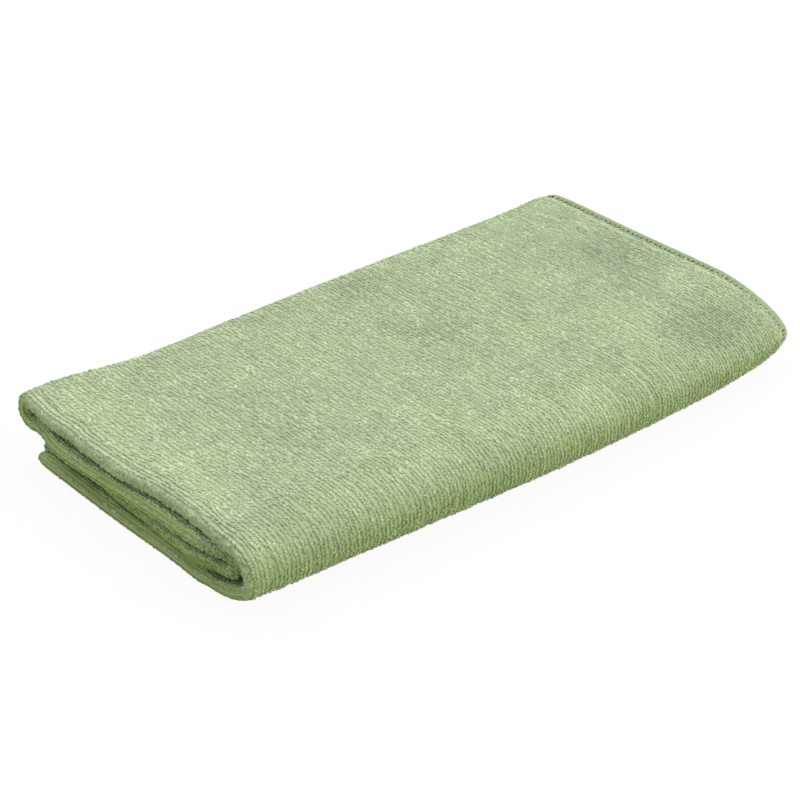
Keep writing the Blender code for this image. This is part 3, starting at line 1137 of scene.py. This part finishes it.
def set_camera(stage):
    """A camera where the photograph was taken from."""
    down, yaw = math.radians(CAMERA_DOWN), math.radians(CAMERA_YAW)
    look = Vector((math.cos(down) * math.cos(yaw), math.cos(down) * math.sin(yaw), -math.sin(down)))
    right = Vector((math.sin(yaw), -math.cos(yaw), 0.0))
    turned = Matrix((right, right.cross(look), -look)).transposed()
    data = bpy.data.cameras.new("camera")
    data.lens = stage.focal_length
    data.clip_start = 0.01
    camera = bpy.data.objects.new("camera", data)
    camera.matrix_world = Matrix.Translation(CAMERA_AT + TABLE_ZERO) @ turned.to_4x4()
    bpy.context.scene.collection.objects.link(camera)
    bpy.context.scene.camera = camera


def floor_material(stage):
    """A pale floor, which throws back less light than it shows."""
    material = bpy.data.materials.new("floor")
    material.use_nodes = True
    tree = material.node_tree
    shader = set_up(
        tree.nodes["Principled BSDF"],
        Roughness=0.9,
        Specular_IOR_Level=0.0,
        Emission_Color=(1.0, 1.0, 1.0, 1.0),
    )
    seen = add_node(tree, "ShaderNodeLightPath").outputs["Is Camera Ray"]
    feed(tree, shader.inputs["Base Color"], mixed(tree, seen, stage.floor_bounce, stage.floor))
    glow = worked(tree, "MULTIPLY", seen, stage.floor_lift)
    feed(tree, shader.inputs["Emission Strength"], glow)
    return material


def lay_floor(stage):
    """A wide floor just under the cloth."""
    mesh = bpy.data.meshes.new("floor")
    plane = bmesh.new()
    under = Matrix.Translation((0.0, 0.0, -FLOOR_DROP))
    bmesh.ops.create_grid(plane, x_segments=1, y_segments=1, size=FLOOR_REACH, matrix=under)
    plane.to_mesh(mesh)
    plane.free()
    mesh.materials.append(floor_material(stage))
    floor = bpy.data.objects.new("floor", mesh)
    bpy.context.scene.collection.objects.link(floor)


def hang_lamp(lamp):
    """A square softbox that faces the cloth."""
    data = bpy.data.lights.new(lamp.name, "AREA")
    data.size = lamp.size
    data.energy = lamp.power
    light = bpy.data.objects.new(lamp.name, data)
    light.location = lamp.at
    light.rotation_euler = (-Vector(lamp.at)).to_track_quat("-Z", "Y").to_euler()
    bpy.context.scene.collection.objects.link(light)


class CLOTH_OT_stage(bpy.types.Operator):
    """Sets the floor, the soft studio light and the camera"""

    bl_idname = "cloth.stage"
    bl_label = "Stage"

    def execute(self, context):
        stage = context.scene.cloth_stage
        set_camera(stage)
        lay_floor(stage)
        for lamp in LAMPS:
            hang_lamp(lamp)
        world = bpy.data.worlds.new("studio")
        world.use_nodes = True
        background = world.node_tree.nodes["Background"]
        set_up(background, Color=(1.0, 1.0, 1.0, 1.0), Strength=stage.ambient)
        context.scene.world = world
        context.scene.view_settings.view_transform = "Standard"
        return {"FINISHED"}


# ---------------------------------------------------------------------------------------------
# Settings and panel
# ---------------------------------------------------------------------------------------------


def length_setting(name, description, default):
    """A setting that holds a length."""
    return bpy.props.FloatProperty(
        name=name, description=description, default=default, min=0.0, unit="LENGTH", precision=5
    )


def share_setting(name, description, default):
    """A setting that holds a strength between 0 and 1."""
    return bpy.props.FloatProperty(
        name=name, description=description, default=default, min=0.0, max=1.0, subtype="FACTOR"
    )


def colour_setting(name, description, default):
    """A setting that holds a linear colour."""
    return bpy.props.FloatVectorProperty(
        name=name, description=description, default=default, min=0, max=1, subtype="COLOR"
    )


class ClothSizes(bpy.types.PropertyGroup):
    """What the cloth is knitted and sewn to"""

    flat_side: length_setting("Flat side", "Side of the square before it was folded", 0.4)
    nap: length_setting("Nap", "How far the ground lies under the face of the ply", 0.0005)
    rib_pitch: length_setting("Rib pitch", "From one rib of loops to the next", 0.00125)
    loop_pitch: length_setting("Loop pitch", "From one loop to the next along a rib", 0.00085)
    loop_long: length_setting("Loop length", "Length of a loop over the ground", 0.00098)
    loop_wide: length_setting("Loop width", "Width of a loop over the ground", 0.00105)
    loop_high: length_setting("Loop height", "Height of a loop from the ground", 0.00058)
    hem_band: length_setting("Hem band", "How far the overlock stitches reach in", 0.00275)
    hem_thick: length_setting("Hem thickness", "Thickness of the overlocked edge", 0.0014)
    stitch_pitch: length_setting("Stitch pitch", "From one stitch to the next", 0.00066)
    thread_thick: length_setting("Thread", "Thickness of the overlock thread", 0.0006)


class ClothLooks(bpy.types.PropertyGroup):
    """What the cloth is dyed and how it shines"""

    # Where the loops and the knit face upwards they are mixed towards the pale tips and the pale ground as
    # painted sheen
    pile_tip: colour_setting("Pile tips", "Yarn at the tips of the loops", (0.57, 0.65, 0.47))
    pile_root: colour_setting("Pile roots", "Yarn deep in the pile", (0.29, 0.42, 0.1))
    ground_pale: colour_setting("Pale ground", "Knit where ribs are parted", (0.5, 0.6, 0.37))
    ground_dark: colour_setting("Dark ground", "Knit deep between ribs", (0.29, 0.39, 0.125))
    thread: colour_setting("Thread", "Overlock thread in the light", (0.365, 0.47, 0.25))
    thread_root: colour_setting("Deep thread", "Thread between the fibres", (0.295, 0.39, 0.2))
    sheen: share_setting("Sheen", "Pale sheen of the split fibres", 0.65)
    rim_sheen: share_setting("Rim sheen", "Sheen of fibres at the half folds", 0.15)
    ground_sheen: share_setting("Ground sheen", "Sheen of the knit between the loops", 0.1)
    thread_sheen: share_setting("Thread sheen", "Sheen of the overlock thread", 0.35)


class ClothStage(bpy.types.PropertyGroup):
    """How the studio is set"""

    focal_length: bpy.props.FloatProperty(
        name="Focal length", description="Of the camera", default=99.99, unit="CAMERA"
    )
    ambient: share_setting("Ambient", "Strength of the white surroundings", 0.3)
    floor: colour_setting("Floor", "The floor as the camera sees it", (0.06, 0.06, 0.06))
    floor_bounce: colour_setting("Bounce", "The floor as the cloth sees it", (0.7, 0.7, 0.7))
    floor_lift: share_setting("Lift", "How far the floor's shadows are lifted", 0.94)


class CLOTH_PT_panel(bpy.types.Panel):
    """The settings and steps of the folded cloth"""

    bl_idname = "CLOTH_PT_panel"
    bl_label = "Folded Cloth"
    bl_space_type = "VIEW_3D"
    bl_region_type = "UI"
    bl_category = "Cloth"

    def draw(self, context):
        for group in (
            context.scene.cloth_sizes,
            context.scene.cloth_looks,
            context.scene.cloth_stage,
        ):
            box = self.layout.box()
            for name in group.__annotations__:
                box.prop(group, name)
        for step in STEPS:
            self.layout.operator(step.bl_idname)


STEPS = (
    CLOTH_OT_stage,
    CLOTH_OT_ground_knit,
    CLOTH_OT_pile,
    CLOTH_OT_hem,
    CLOTH_OT_declare,
)
CLASSES = (ClothSizes, ClothLooks, ClothStage, *STEPS, CLOTH_PT_panel)


def register():
    for cls in CLASSES:
        bpy.utils.register_class(cls)
    bpy.types.Scene.cloth_sizes = bpy.props.PointerProperty(type=ClothSizes)
    bpy.types.Scene.cloth_looks = bpy.props.PointerProperty(type=ClothLooks)
    bpy.types.Scene.cloth_stage = bpy.props.PointerProperty(type=ClothStage)


def unregister():
    del bpy.types.Scene.cloth_stage
    del bpy.types.Scene.cloth_looks
    del bpy.types.Scene.cloth_sizes
    for cls in reversed(CLASSES):
        bpy.utils.unregister_class(cls)


def main():
    """Makes the cloth and its stage."""
    register()
    bpy.ops.cloth.stage()
    bpy.ops.cloth.ground_knit()
    bpy.ops.cloth.pile()
    bpy.ops.cloth.hem()
    bpy.ops.cloth.declare()


if __name__ == "__main__":
    main()
